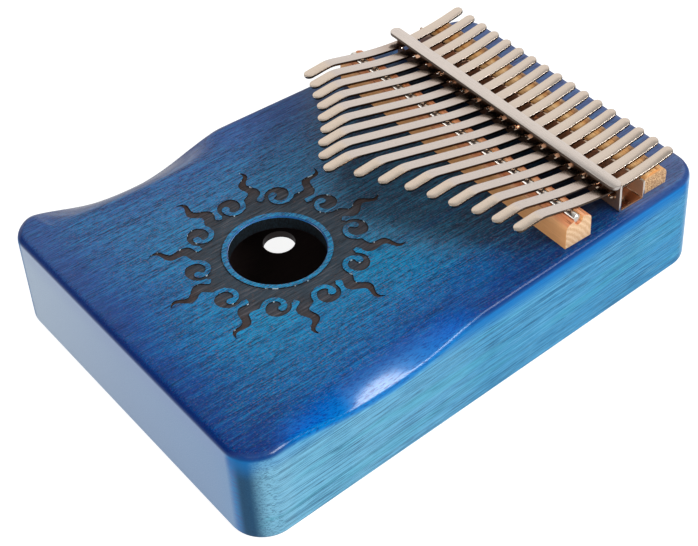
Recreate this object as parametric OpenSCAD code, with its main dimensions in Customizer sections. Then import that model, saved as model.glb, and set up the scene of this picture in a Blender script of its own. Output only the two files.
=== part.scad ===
// Seventeen-key mbira (thumb piano) with a hollow, stained soundbox.
// X is the width, Y the length and Z is up. The origin is the centre of the
// underside. "Rear" is +Y, where the bridges are; "front" is -Y, where the
// sound hole is and the key tips point.

/* [Soundbox] */
// Length of the soundbox
body_len = 190; // [170:1:210]
// Width at the sound hole end
body_w_hole = 137.6; // [130:0.2:150]
// Width at the bridge end
body_w_bridge = 119.5; // [119:0.1:130]
// Height of the soundbox
body_h = 36.4; // [34:0.2:42]
// Radius of the four upright corners
corner_r = 11.6; // [8:0.2:16]
// Round-over of the top edge
top_r = 3.2; // [1.5:0.1:5]
// Round-over of the bottom edge
bottom_r = 1.5; // [0.6:0.1:3]
// Thickness of the soundboard over the chamber
top_t = 5; // [3.5:0.1:7]
// Thickness of the side walls
wall_t = 12; // [10:0.5:14]
// Where the chamber ends and the solid bridge block begins
chamber_end = 26; // [10:1:30]
// Depth of the near (+X) hand scoop at the side wall
scoop_depth = 7.2; // [4:0.2:9]
// Reach of the near scoop inward from the side wall
scoop_reach = 12; // [8:0.5:16]
// Length of the near scoop along the side
scoop_len = 76; // [50:1:80]
// Position of the middle of the near scoop
scoop_y = -41; // [-50:1:-25]
// Depth of the far (-X) hand scoop at the side wall
far_depth = 10.4; // [4:0.2:11]
// Reach of the far scoop inward from the side wall
far_reach = 14; // [10:0.5:16]
// Length of the far scoop along the side
far_len = 76; // [50:1:80]
// Position of the middle of the far scoop
far_y = -50; // [-55:1:-25]

/* [Sound holes] */
// Radius of the sound hole
hole_r = 15.8; // [12:0.1:18]
// Position of the sound hole along the body
hole_y = -34.1; // [-45:0.1:-25]
// Diameter of the two back holes
back_hole_d = 11.3; // [8:0.1:14]
// Sideways distance of the back holes from the middle
back_hole_x = 34; // [25:0.5:40]
// Position of the back holes along the body
back_hole_y = -12; // [-30:1:0]
// Thickness of the back plate
back_t = 3; // [2:0.1:4]

/* [Engraving] */
// Inner radius of the engraved sun
sun_r0 = 17.8; // [17:0.1:19]
// Outer radius of the plain band of the sun
sun_r1 = 23; // [21:0.5:26]
// Number of rays
sun_rays = 10; // [6:1:14]
// Distance of the ray tips from the hole centre
sun_tip_r = 41; // [34:0.5:44]
// Depth of the engraving
sun_depth = 0.45; // [0.2:0.05:0.8]

/* [Key set] */
// Number of keys
n_keys = 17; // [17:1:17]
// Distance between neighbouring keys
pitch = 6.52; // [6.2:0.01:6.6]
// Width of a key
key_w = 3.9; // [3.2:0.1:4.2]
// Thickness of a key
key_t = 0.9; // [0.7:0.05:1]
// Sideways position of the whole key set on the soundbox
set_x = 1.5; // [-2:0.1:2]
// Free length of the longest key, from the bridge rod to its tip
long_key = 54.4; // [48:0.1:56]
// How quickly the keys shorten from one note of the scale to the next
key_law = 0.0468; // [0.04:0.0002:0.05]
// Gap kept at every place where a key only presses on its neighbour
touch_gap = 0.25; // [0.2:0.01:0.35]

/* [Bridges] */
// Position of the steel rod that carries the keys
rod_y = 39.5; // [39:0.1:40]
// Radius of the steel rod
rod_r = 1.5; // [1.2:0.1:1.6]
// Length of the steel rod
rod_len = 114; // [112:0.5:115]
// Length of the front bridge
front_len = 115.4; // [115:0.2:117]
// Length of the rear bridge
rear_len = 109.8; // [109:0.2:112]

/* [Bracket] */
// Length of the channel bracket
bracket_len = 112.3; // [111:0.1:113]
// Sheet thickness of the bracket
sheet_t = 0.9; // [0.8:0.05:1]
// Length of the pressure bar
bar_len = 113.5; // [112:0.5:115]
// Width of the pressure bar
bar_w = 4.4; // [4:0.1:5]
// Thickness of the pressure bar
bar_t = 1.2; // [1:0.1:1.4]

/* [Hidden] */
// Small overlap that keeps two faces from coinciding
eps = 0.01;

body_color = [0.10, 0.42, 0.66];
plate_color = [0.34, 0.20, 0.13];
bridge_color = [0.87, 0.70, 0.47];
rod_color = [0.75, 0.74, 0.72];
bracket_color = [0.80, 0.79, 0.77];
bar_color = [0.84, 0.82, 0.80];
screw_color = [0.62, 0.61, 0.60];
key_color = [0.82, 0.79, 0.76];

// Soundbox
half_len = body_len / 2;
taper = (body_w_hole - body_w_bridge) / 2 / body_len;
chamber_cut = 7;      // size of the chamber's cut-off corners
ledge = 3;            // how far the back plate's rebate is wider than the chamber
plate_gap = 0.12;     // gap around the back plate
scoop_cutter_len = 70;

// Wavy rays of the sun
ray_root_r = sun_r1 - 1;
ray_half_w = 2.9;
ray_tip_half_w = 0.12;
ray_swing = 2.0;
ray_turn = 540;       // degrees of wave from root to tip

// Key side view: lowest point of the top face, then slope and curvature
// in front of it, and curvature behind it
dip_y = 62;
dip_z = 44.8;
dip_slope = 0.06;
dip_curve = 0.0041;
rear_curve = 0.0042;
key_rear = 84.9;
front_slope = 0.272;  // rise of the key in front of the rod
tip_drop = 0.07;      // fall of the flat tip
tip_len = 8;
bend_len = 4.4;
split_gap = 0.16;     // gap over the rod between a key's root and tongue

// Steps of the major scale in semitones
SCALE = [0, 2, 4, 5, 7, 9, 11];
mid_key = (n_keys + 1) / 2;
left_extra = 0.5;     // added to the free length of keys on the -X side
right_extra = -0.2;   // added to the free length of keys on the +X side

// Bracket: outer Y of its walls, top of the front wall, and the windows
wall_front = 58.6;
wall_back = 69.8;
wall_top = 47.5;
fold_cut = 0.5;       // chamfer of the two lower folds
window_w = 4.7;
window_bottom = 40.2;
window_top = key_top(wall_front + sheet_t / 2) + touch_gap;

// Screws
screw_pitch = 6 * pitch;
screw_y = (wall_front + wall_back) / 2;
pilot_r = 1.5;
pilot_depth = 12;
clearance_r = 1.7;
slot_w = 0.7;
slot_len = 3.2;
slot_z = 1.0;

// Height of the rod axis: the keys press down on the top of the rod
rod_z = support_top(rod_y) - rod_r;
rod_chamfer = 0.35;
groove_gap = 0.05;

// ----------------------------------------------------------------- helpers

// Values from start to end in n equal steps
function steps(start, end, n) = [for (k = [0 : n]) start + (end - start) * k / n];

// Points on an arc between two angles, in n equal steps
function arc(centre, r, from, to, n) =
  [for (a = steps(from, to, n)) centre + r * [cos(a), sin(a)]];

// Half width of the soundbox at a place along its length
function half_width(y) = (body_w_hole + body_w_bridge) / 4 - taper * y;

// Extrudes a Y-Z profile along X, centred on x
module along_x(length, x = 0) {
  translate([x - length / 2, 0, 0])
    rotate([90, 0, 90])
      linear_extrude(height = length) children();
}

// Lays an upright part along the rod axis
module on_rod_axis() {
  translate([set_x, rod_y, rod_z])
    rotate([0, 90, 0]) children();
}

// Repeats a part at the three bracket screws, at height z
module at_screws(z) {
  for (side = [-1 : 1])
    translate([set_x + side * screw_pitch, screw_y, z]) children();
}

// ---------------------------------------------------------------- soundbox

// One upright corner post with rounded ends, as a solid of revolution
module corner_post() {
  rotate_extrude($fn = 48)
    polygon(concat(
      [[0, 0]],
      arc([corner_r - bottom_r, bottom_r], bottom_r, -90, 0, 3),
      arc([corner_r - top_r, body_h - top_r], top_r, 0, 90, 5),
      [[0, body_h]]));
}

module body_block() {
  hull()
    for (sx = [-1, 1], sy = [-1, 1])
      translate([sx * (half_width(sy * half_len) - corner_r), sy * (half_len - corner_r), 0])
        corner_post();
}

// Outline of the chamber, inset from the sides, with cut-off corners
module chamber_outline(inset, y_end) {
  y_start = -half_len + inset;
  start_x = half_width(y_start) - inset;
  end_x = half_width(y_end) - inset;
  right = [
    [start_x - chamber_cut, y_start], [start_x, y_start + chamber_cut],
    [end_x, y_end - chamber_cut], [end_x - chamber_cut, y_end]];
  polygon(concat(right, [for (k = [3 : -1 : 0]) [-right[k][0], right[k][1]]]));
}

// The scoop is a wide cylinder lying across the edge and tipped outward
module scoop(side, depth, reach, len, y) {
  r = (pow(len / 2, 2) + pow(depth, 2)) / 2 / depth;
  tilt = atan(depth / reach);
  axis_x = half_width(y) - reach + r * sin(tilt);
  translate([side * axis_x, y, body_h + r * cos(tilt)])
    rotate([0, side * (90 + tilt), 0])
      cylinder(h = scoop_cutter_len, r = r, center = true, $fn = 128);
}

// Edge of a ray at t (0 at the root, 1 at the tip), on one side (-1 or 1)
function ray_point(t, side) =
  let (half_w = ray_half_w * pow(1 - t, 0.8) + ray_tip_half_w,
       swing = ray_swing * sin(ray_turn * t) * (1 - 0.35 * t))
  [swing + side * half_w * (1 + 0.25 * cos(ray_turn * t)),
   ray_root_r + (sun_tip_r - ray_root_r) * t];

// One wavy ray: a tapering strip whose centre line swings to and fro
module sun_ray() {
  polygon(concat(
    [for (t = steps(0, 1, 14)) ray_point(t, 1)],
    [for (t = steps(1, 0, 14)) ray_point(t, -1)]));
}

// Engraved sun around the sound hole
module sun_cut() {
  translate([0, hole_y, body_h - sun_depth]) {
    difference() {
      cylinder(h = 2, r = sun_r1, $fn = 96);
      translate([0, 0, -1]) cylinder(h = 4, r = sun_r0, $fn = 96);
    }
    for (k = [0 : sun_rays - 1])
      rotate([0, 0, 360 / sun_rays * k])
        linear_extrude(height = 2) sun_ray();
  }
}

module body_shell() {
  color(body_color)
  difference() {
    body_block();
    // chamber
    translate([0, 0, back_t - eps])
      linear_extrude(height = body_h - top_t - back_t + eps)
        chamber_outline(wall_t, chamber_end);
    // rebate for the back plate
    translate([0, 0, -1])
      linear_extrude(height = back_t + 1)
        chamber_outline(wall_t - ledge, chamber_end + ledge);
    // sound hole
    translate([0, hole_y, body_h - top_t - 2])
      cylinder(h = top_t + 4, r = hole_r, $fn = 96);
    sun_cut();
    scoop(1, scoop_depth, scoop_reach, scoop_len, scoop_y);
    scoop(-1, far_depth, far_reach, far_len, far_y);
    // pilot holes for the bracket screws
    at_screws(body_h - pilot_depth)
      cylinder(h = pilot_depth + 2, r = pilot_r, $fn = 32);
  }
}

module back_plate() {
  color(plate_color)
  difference() {
    linear_extrude(height = back_t)
      chamber_outline(wall_t - ledge + plate_gap, chamber_end + ledge - plate_gap);
    for (side = [-1, 1])
      translate([side * back_hole_x, back_hole_y, -1])
        cylinder(h = back_t + 2, r = back_hole_d / 2, $fn = 64);
  }
}

// ----------------------------------------------------------------- bridges

// Side profile of the front bridge, as [y, z]
FRONT_PROFILE = [
  [34.2, body_h], [45.0, body_h], [45.0, 44.2], [43.7, 45.5],
  [42.0, 46.15], [40.2, 46.2], [38.0, 46.1], [36.0, 45.9],
  [34.9, 45.5], [34.3, 44.6]];

module front_bridge() {
  color(bridge_color)
  difference() {
    along_x(front_len, set_x) polygon(FRONT_PROFILE);
    // groove that the rod lies in
    on_rod_axis()
      cylinder(h = front_len + 2, r = rod_r + groove_gap, center = true, $fn = 48);
  }
}

// Rod with chamfered ends
module bridge_rod() {
  half_rod = rod_len / 2;
  face_r = rod_r - rod_chamfer;
  color(rod_color)
  on_rod_axis()
    rotate_extrude($fn = 48)
      polygon([
        [0, -half_rod], [face_r, -half_rod], [rod_r, -half_rod + rod_chamfer],
        [rod_r, half_rod - rod_chamfer], [face_r, half_rod], [0, half_rod]]);
}

// Rounded hump that falls to the rear, with its apex just under the keys
module rear_bridge() {
  apex = support_top(74.6) - 0.06;
  color(bridge_color)
  along_x(rear_len, set_x)
    polygon([ // [y, z]
      [70.0, body_h], [80.7, body_h], [80.9, 40.6], [80.5, 41.6],
      [78.4, apex - 1.2], [76.6, apex - 0.3], [74.8, apex],
      [73.0, apex - 0.35], [71.3, apex - 1.1], [70.2, apex - 2.2]]);
}

// ----------------------------------------------------------------- bracket

// One window of the bracket's front wall: square above, round below
module window_outline() {
  r = window_w / 2;
  polygon(concat(
    [[r, window_top], [-r, window_top]],
    arc([0, window_bottom + r], r, 180, 360, 10)));
}

// Side profile of the channel: base, rear wall and taller front wall
module channel_profile() {
  rear_top = support_top(wall_back) - 0.12;
  front_inner = wall_front + sheet_t;
  back_inner = wall_back - sheet_t;
  floor_z = body_h + sheet_t;
  polygon([
    [wall_front + fold_cut, body_h], [wall_back - fold_cut, body_h],
    [wall_back, body_h + fold_cut], [wall_back, rear_top],
    [back_inner, rear_top], [back_inner, floor_z],
    [front_inner, floor_z], [front_inner, wall_top],
    [wall_front, wall_top], [wall_front, body_h + fold_cut]]);
}

// Folded channel with one window per key in its front wall
module tine_bracket() {
  color(bracket_color)
  difference() {
    along_x(bracket_len, set_x) channel_profile();
    for (i = [1 : n_keys])
      translate([key_x(i), wall_front + sheet_t + 1, 0])
        rotate([90, 0, 0])
          linear_extrude(height = sheet_t + 2) window_outline();
    at_screws(body_h - 1)
      cylinder(h = sheet_t + 2, r = clearance_r, $fn = 32);
  }
}

// Flat bar with round ends that stiffens the top of the front wall
module pressure_bar() {
  end_r = bar_w / 2;
  end_x = bar_len / 2 - end_r;
  color(bar_color)
  translate([set_x, wall_front + sheet_t - end_r, wall_top])
    linear_extrude(height = bar_t)
      polygon(concat(
        arc([end_x, 0], end_r, -90, 90, 14),
        arc([-end_x, 0], end_r, 90, 270, 14)));
}

// Half section of a screw, as [radius, height above the bracket base]
SCREW_PROFILE = [
  [0, -11], [0.3, -11], [1.4, -8.6], [1.4, 0], [2.7, 0],
  [2.7, 0.7], [2.35, 1.3], [1.6, 1.65], [0, 1.75]];

// Pan-head wood screws that hold the bracket to the solid bridge block
module bracket_screws() {
  color(screw_color)
  at_screws(body_h + sheet_t)
    difference() {
      rotate_extrude($fn = 32) polygon(SCREW_PROFILE);
      // cross slot
      translate([-slot_w / 2, -slot_len / 2, slot_z]) cube([slot_w, slot_len, 2]);
      translate([-slot_len / 2, -slot_w / 2, slot_z]) cube([slot_len, slot_w, 2]);
    }
}

// -------------------------------------------------------------------- keys

// Sideways centre of key i (1 to n_keys, from -X to +X)
function key_x(i) = set_x + (i - mid_key) * pitch;

// Rank of key i in the scale: the middle key is the lowest note, and the
// notes then go outward by turns to the two sides
function key_rank(i) = i < mid_key ? 2 * (mid_key - i) - 1 : 2 * (i - mid_key);

// Semitones above the lowest note for one rank
function semitones(rank) = SCALE[rank % 7] + 12 * floor(rank / 7);

// A cantilever's pitch goes with the inverse square of its length, so each
// key's free length falls by a fixed power of its note
function key_free(i) = long_key * pow(2, -key_law * semitones(key_rank(i)))
  + (i < mid_key ? left_extra : i == mid_key ? 0 : right_extra);

// Height of a key's top face behind the bend: it is pressed down in the
// bracket window and springs up over the rod and over the rear bridge
function key_top(y) =
  y > dip_y ? dip_z + rear_curve * pow(y - dip_y, 2)
  : y > rod_y ? dip_z + dip_slope * (dip_y - y) + dip_curve * pow(dip_y - y, 2)
  : key_top(rod_y + eps) + front_slope * (rod_y - y);

// Top of a part that a key presses on, just below the key's underside
function support_top(y) = key_top(y) - key_t - touch_gap;

// Height of a tongue's top face: straight, then bent down, then a flat tip
function tongue_top(y, bend) = let (past = bend - y)
  past <= 0 ? key_top(y)
  : past < bend_len
  ? key_top(bend) + front_slope * past
    - (front_slope + tip_drop) * past * past / 2 / bend_len
  : key_top(bend) + (front_slope - tip_drop) * bend_len / 2
    - tip_drop * (past - bend_len);

// Plan outline of one end of a key, from a square start to a rounded end
module key_plan(y_start, y_end) {
  r = key_w / 2;
  way = sign(y_end - y_start);
  polygon(concat(
    [[r, y_start]],
    arc([0, y_end - way * r], r, 0, way * 180, 12),
    [[-r, y_start]]));
}

// Part of key i: a strip under the [y, z] points of its top face, cut to
// the key plan
module key_strip(i, top, y_start, y_end) {
  color(key_color)
  translate([key_x(i), 0, 0])
    intersection() {
      along_x(2 * key_w)
        polygon(concat(top,
          [for (k = [len(top) - 1 : -1 : 0]) top[k] - [0, key_t]]));
      translate([0, 0, 30])
        linear_extrude(height = 40) key_plan(y_start, y_end);
    }
}

// Clamped part of a key: from the rod, under the bar, to its rear end
module key_root(i) {
  ys = concat(
    steps(rod_y + split_gap / 2, dip_y, 10),
    steps(dip_y + (key_rear - dip_y) / 8, key_rear, 7));
  key_strip(i, [for (y = ys) [y, key_top(y)]], rod_y - 1, key_rear);
}

// Free part of a key: it springs forward from the rod to the played tip
module key_tongue(i) {
  tip = rod_y - key_free(i);
  bend = tip + tip_len + bend_len;
  ys = concat([rod_y - split_gap / 2], steps(bend, bend - bend_len, 5), [tip]);
  key_strip(i, [for (y = ys) [y, tongue_top(y, bend)]], rod_y + 1, tip);
}

body_shell();
back_plate();
front_bridge();
bridge_rod();
rear_bridge();
tine_bracket();
pressure_bar();
bracket_screws();
key_root(1);  // key_01_root
key_tongue(1);  // key_01_tongue
key_root(2);  // key_02_root
key_tongue(2);  // key_02_tongue
key_root(3);  // key_03_root
key_tongue(3);  // key_03_tongue
key_root(4);  // key_04_root
key_tongue(4);  // key_04_tongue
key_root(5);  // key_05_root
key_tongue(5);  // key_05_tongue
key_root(6);  // key_06_root
key_tongue(6);  // key_06_tongue
key_root(7);  // key_07_root
key_tongue(7);  // key_07_tongue
key_root(8);  // key_08_root
key_tongue(8);  // key_08_tongue
key_root(9);  // key_09_root
key_tongue(9);  // key_09_tongue
key_root(10);  // key_10_root
key_tongue(10);  // key_10_tongue
key_root(11);  // key_11_root
key_tongue(11);  // key_11_tongue
key_root(12);  // key_12_root
key_tongue(12);  // key_12_tongue
key_root(13);  // key_13_root
key_tongue(13);  // key_13_tongue
key_root(14);  // key_14_root
key_tongue(14);  // key_14_tongue
key_root(15);  // key_15_root
key_tongue(15);  // key_15_tongue
key_root(16);  // key_16_root
key_tongue(16);  // key_16_tongue
key_root(17);  // key_17_root
key_tongue(17);  // key_17_tongue
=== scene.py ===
"""Seventeen-key mbira: a tapered wooden box with two bridges and a row of steel keys.

The box is centred on the origin and stands on z = 0. X runs across it, +X being right.
Y runs along it, from the sound hole at the front (-Y) to the bridges at the rear (+Y).
All lengths are in mm unless noted, and become metres where a mesh is made.
"""

import math
from functools import cached_property
from types import SimpleNamespace

import bmesh
import bpy
import numpy as np
from mathutils import Matrix, Vector
from mathutils.geometry import tessellate_polygon


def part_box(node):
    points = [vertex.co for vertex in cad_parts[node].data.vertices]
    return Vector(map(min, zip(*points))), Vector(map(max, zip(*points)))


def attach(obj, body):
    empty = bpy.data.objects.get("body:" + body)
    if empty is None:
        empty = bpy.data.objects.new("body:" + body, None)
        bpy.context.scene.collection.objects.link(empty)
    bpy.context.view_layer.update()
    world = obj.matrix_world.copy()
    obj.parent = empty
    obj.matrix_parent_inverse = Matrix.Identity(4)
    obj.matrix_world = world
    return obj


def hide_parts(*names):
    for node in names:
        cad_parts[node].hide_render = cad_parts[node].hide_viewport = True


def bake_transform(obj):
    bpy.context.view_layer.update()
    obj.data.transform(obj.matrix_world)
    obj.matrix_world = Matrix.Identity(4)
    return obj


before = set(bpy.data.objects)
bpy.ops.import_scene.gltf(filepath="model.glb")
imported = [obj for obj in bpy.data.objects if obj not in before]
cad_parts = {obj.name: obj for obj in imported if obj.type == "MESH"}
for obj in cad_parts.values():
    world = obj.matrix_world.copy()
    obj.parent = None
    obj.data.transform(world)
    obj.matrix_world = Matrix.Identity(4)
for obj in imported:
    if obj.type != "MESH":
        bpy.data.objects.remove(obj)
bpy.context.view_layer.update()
scene = bpy.context.scene
MM = 0.001                                   # metres in a millimetre


def box_mm(piece):
    """Low and high corners of a CAD piece."""
    return [tuple(value / MM for value in corner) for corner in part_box(piece)]


# ------------------------------------------------------------------ dimensions
shell_low, shell_high = box_mm("body_shell")
HALF_LENGTH = (shell_high[1] - shell_low[1]) / 2
HEIGHT = shell_high[2]
FRONT_WIDTH, REAR_WIDTH = 137.6, 119.5
MID_HALF_WIDTH = (FRONT_WIDTH + REAR_WIDTH) / 4
TAPER = (FRONT_WIDTH - REAR_WIDTH) / 2 / (2 * HALF_LENGTH)
CORNER_R = 11.6                              # upright corners of the box
HOLE_Y, HOLE_R = -34.1, 15.8

KEYS = range(1, 18)
MIDDLE_KEY = 9
SET_X = 1.5                                  # x of the middle key
PITCH, KEY_WIDTH, KEY_THICK = 6.52, 3.9, 0.9

# top line of a key, from rear to tip
LOW_Y, LOW_Z = 62.0, 44.8                    # lowest point, from where it rises both ways
ROD_Y, ROD_R = 39.5, 1.5
RISE, DROOP = 0.272, 0.07                    # slope up from the rod, and down to the tip
BEND_START, BEND_LENGTH = 12.4, 4.4          # bend: distance behind the tip, and length

BRACKET_FRONT, BRACKET_REAR, BRACKET_TOP = 58.6, 69.8, 47.5
SHEET = 0.9                                  # thickness of the bracket
SCREW_Y = (BRACKET_FRONT + BRACKET_REAR) / 2
SCREW_XS = [SET_X + side * 6 * PITCH for side in (-1, 0, 1)]


def half_width(y):
    return MID_HALF_WIDTH - TAPER * y


def key_x(i):
    return SET_X + (i - MIDDLE_KEY) * PITCH


def tip_y(i):
    return box_mm("key_%02d_tongue" % i)[0][1]


def rear_y(i):
    return box_mm("key_%02d_root" % i)[1][1]


def key_line(y):
    """Height of a key's top at y, leaving out the bend near its tip."""
    if y > LOW_Y:
        return LOW_Z + 0.0042 * (y - LOW_Y) ** 2
    ahead = LOW_Y - max(y, ROD_Y)
    return LOW_Z + 0.06 * ahead + 0.0041 * ahead ** 2 + RISE * max(ROD_Y - y, 0.0)


def key_top(y, tip):
    """Height at y of the top of the key whose tip is at y = tip."""
    bend = tip + BEND_START
    if y >= bend:
        return key_line(y)
    past = bend - y
    if past < BEND_LENGTH:
        return key_line(bend) + RISE * past - (RISE + DROOP) * past * past / (2 * BEND_LENGTH)
    return key_line(bend) + (RISE - DROOP) * BEND_LENGTH / 2 - DROOP * (past - BEND_LENGTH)


ROD_Z = key_line(ROD_Y) - KEY_THICK - 0.25 - ROD_R


# ------------------------------------------------------------------ shader helper
def rgb(*levels):
    """Linear colour from sRGB levels of 0 to 255."""
    def linear(level):
        level /= 255
        return level / 12.92 if level <= 0.04045 else ((level + 0.055) / 1.055) ** 2.4
    return tuple(linear(level) for level in levels) + (1.0,)


def scaled(colour, factor):
    return tuple(level * factor for level in colour[:3]) + (1.0,)


class Shader:
    """A material around one Principled node; its coordinates are object space in mm."""

    def __init__(self, name):
        self.material = bpy.data.materials.new(name)
        self.material.use_nodes = True
        self.tree = self.material.node_tree
        self.tree.nodes.clear()
        output = self.node("OutputMaterial")
        self.bsdf = self.node("BsdfPrincipled")
        self.tree.links.new(self.bsdf.outputs[0], output.inputs[0])
        scale = self.node("VectorMath")
        scale.operation = "SCALE"
        scale.inputs["Scale"].default_value = 1000.0
        self.tree.links.new(self.node("TexCoord").outputs["Object"], scale.inputs[0])
        self.point = scale.outputs[0]

    def node(self, kind):
        return self.tree.nodes.new("ShaderNode" + kind)

    def feed(self, socket, value):
        if isinstance(value, bpy.types.NodeSocket):
            self.tree.links.new(value, socket)
        elif value is not None:
            socket.default_value = value

    def split(self, vector):
        node = self.node("SeparateXYZ")
        self.tree.links.new(vector, node.inputs[0])
        return tuple(node.outputs)

    @cached_property
    def position(self):
        return self.split(self.point)

    @cached_property
    def normal(self):
        return self.split(self.node("NewGeometry").outputs["Normal"])

    def calc(self, operation, *values, clamp=False):
        node = self.node("Math")
        node.operation = operation
        node.use_clamp = clamp
        for k, value in enumerate(values):
            self.feed(node.inputs[k], value)
        return node.outputs[0]

    def product(self, first, *others):
        for other in others:
            first = self.calc("MULTIPLY", first, other)
        return first

    def linear(self, value, base, gain, clamp=False):
        return self.calc("ADD", base, self.product(value, gain), clamp=clamp)

    def invert(self, value):
        return self.calc("SUBTRACT", 1.0, value)

    def size(self, value):
        return self.calc("ABSOLUTE", value)

    def centred(self, noise):
        return self.calc("SUBTRACT", noise, 0.5)

    def mask(self, value, off, on, low=0.0, high=1.0, smooth=True):
        """Goes from low, where the value is off, to high, where it is on."""
        node = self.node("MapRange")
        node.interpolation_type = "SMOOTHSTEP" if smooth else "LINEAR"
        node.clamp = True
        for k, entry in enumerate((value, off, on, low, high)):
            self.feed(node.inputs[k], entry)
        return node.outputs[0]

    def mix(self, factor, first, second, mode="MIX"):
        node = self.node("Mix")
        node.data_type = "RGBA"
        node.blend_type = mode
        node.clamp_factor = True
        for k, entry in ((0, factor), (6, first), (7, second)):
            self.feed(node.inputs[k], entry)
        return node.outputs[2]

    def layer(self, under, mask, colour, amount=None, within=None):
        """Lays a colour over another where the mask is on."""
        for factor in (amount, within):
            if factor is not None:
                mask = self.product(mask, factor)
        return self.mix(mask, under, colour)

    def ramp(self, factor, stops):
        node = self.node("ValToRGB")
        elements = node.color_ramp.elements
        while len(elements) > 1:
            elements.remove(elements[-1])
        elements[0].position, elements[0].color = stops[0]
        for place, colour in stops[1:]:
            elements.new(place).color = colour
        self.feed(node.inputs[0], factor)
        return node.outputs[0]

    def noise(self, per_mm, detail, rough, offset=(0, 0, 0), distortion=0.0):
        """Noise over object space; per_mm is its frequency along x, y and z."""
        node = self.node("Mapping")
        node.inputs["Scale"].default_value = per_mm
        node.inputs["Location"].default_value = offset
        self.tree.links.new(self.point, node.inputs[0])
        return self.noise_at(node.outputs[0], detail, rough, distortion)

    def noise_of(self, values, per_mm, detail, rough):
        """Noise over three values taken as coordinates."""
        node = self.node("CombineXYZ")
        for k, value in enumerate(values):
            self.feed(node.inputs[k], self.product(value, per_mm[k]))
        return self.noise_at(node.outputs[0], detail, rough, 0.0)

    def noise_at(self, vector, detail, rough, distortion):
        node = self.node("TexNoise")
        self.feed(node.inputs["Vector"], vector)
        settings = {"Scale": 1.0, "Detail": detail, "Roughness": rough, "Distortion": distortion}
        for key, value in settings.items():
            node.inputs[key].default_value = value
        return node.outputs[0]

    def bump(self, height, strength, distance):
        node = self.node("Bump")
        node.inputs["Strength"].default_value = strength
        node.inputs["Distance"].default_value = distance * MM
        self.feed(node.inputs["Height"], height)
        return node.outputs[0]

    def finish(self, **inputs):
        for key, value in inputs.items():
            self.feed(self.bsdf.inputs[key.replace("_", " ")], value)
        return self.material


# ------------------------------------------------------------------ stained wood of the box
def stained_patterns(mat):
    """Grain noises and masks shared by the faces of the box."""
    x, y, z = mat.position
    half = mat.calc("MULTIPLY_ADD", y, -TAPER, MID_HALF_WIDTH)
    from_side = mat.calc("SUBTRACT", half, mat.size(x))
    # the long sides' own coordinates, which follow the taper
    side_space = (from_side, y, z)

    streak = mat.noise(per_mm=(2.1, 0.075, 2.1), detail=4.0, rough=0.70)
    fine = mat.noise(per_mm=(3.1, 0.40, 3.1), detail=3.0, rough=0.65)
    line = mat.noise(per_mm=(3.2, 0.026, 3.2), detail=3.0, rough=0.62, offset=(2, 8, 6))
    # thin dark lines where a slow noise crosses its middle value
    slow_top = mat.noise(per_mm=(1.15, 0.020, 1.15), detail=2.0, rough=0.60, offset=(9, 1, 4))
    slow_side = mat.noise_of(side_space, per_mm=(0.9, 0.016, 1.05), detail=2.0, rough=0.62)
    # shallow part of the right edge beside the sound hole
    near_right = mat.mask(x, off=0.0, on=20.0)
    hollow = mat.product(mat.mask(y, off=-86.0, on=-72.0), mat.mask(y, off=0.0, on=-16.0),
                         mat.mask(from_side, off=11.0, on=2.0), near_right)
    return SimpleNamespace(
        from_side=from_side, near_right=near_right, hollow=hollow, streak=streak, fine=fine,
        pore=mat.noise(per_mm=(2.7, 0.34, 2.7), detail=2.0, rough=0.5, offset=(7, 3, 1)),
        fleck=mat.noise(per_mm=(2.2, 1.3, 2.2), detail=2.0, rough=0.6, offset=(1, 9, 4)),
        broad=mat.noise(per_mm=(0.16, 0.012, 0.16), detail=3.0, rough=0.6, offset=(3, 5, 2)),
        fibre=mat.noise_of(side_space, per_mm=(1.6, 0.024, 3.4), detail=4.0, rough=0.66),
        fleece=mat.noise_of(side_space, per_mm=(1.6, 0.16, 2.9), detail=3.0, rough=0.66),
        ridge_top=mat.mask(mat.size(mat.centred(slow_top)), off=0.040, on=0.004),
        ridge_side=mat.mask(mat.size(mat.centred(slow_side)), off=0.048, on=0.006),
        dark=mat.mask(streak, off=0.50, on=0.36),
        thin=mat.mask(fine, off=0.50, on=0.38),
        lines=mat.mask(line, off=0.46, on=0.36))


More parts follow.
